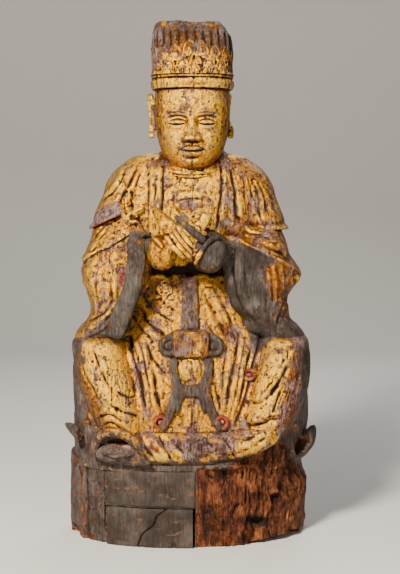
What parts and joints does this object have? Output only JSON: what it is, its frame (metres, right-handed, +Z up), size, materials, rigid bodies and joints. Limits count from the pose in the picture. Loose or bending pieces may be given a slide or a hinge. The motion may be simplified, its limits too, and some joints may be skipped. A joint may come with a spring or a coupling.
{
  "type": "wooden seated figure statue",
  "caption": "Seated gilded wooden altar figure in a tall hat, hands joined before the chest, carved with its plinth from one log and faced with thin boards.",
  "frame": {"origin": "on the flat underside of the plinth, straight below the middle of the figure", "axes": "+Z up through the hat, the figure faces -Y, and +X is to the right of someone who faces it"},
  "size_m": [0.2477, 0.166, 0.502],
  "materials": {
    "gilded_wood": "worn gold leaf over dark red lacquer, with grey lacquer and bare, decayed wood where the gilding is lost",
    "weathered_board": "dusty grey-brown lacquer, matt"
  },
  "bodies": {
    "root": {"carved_figure_with_plinth": "gilded_wood", "plinth_upper_board": "weathered_board", "plinth_lower_board": "weathered_board"}
  },
  "joints": []
}
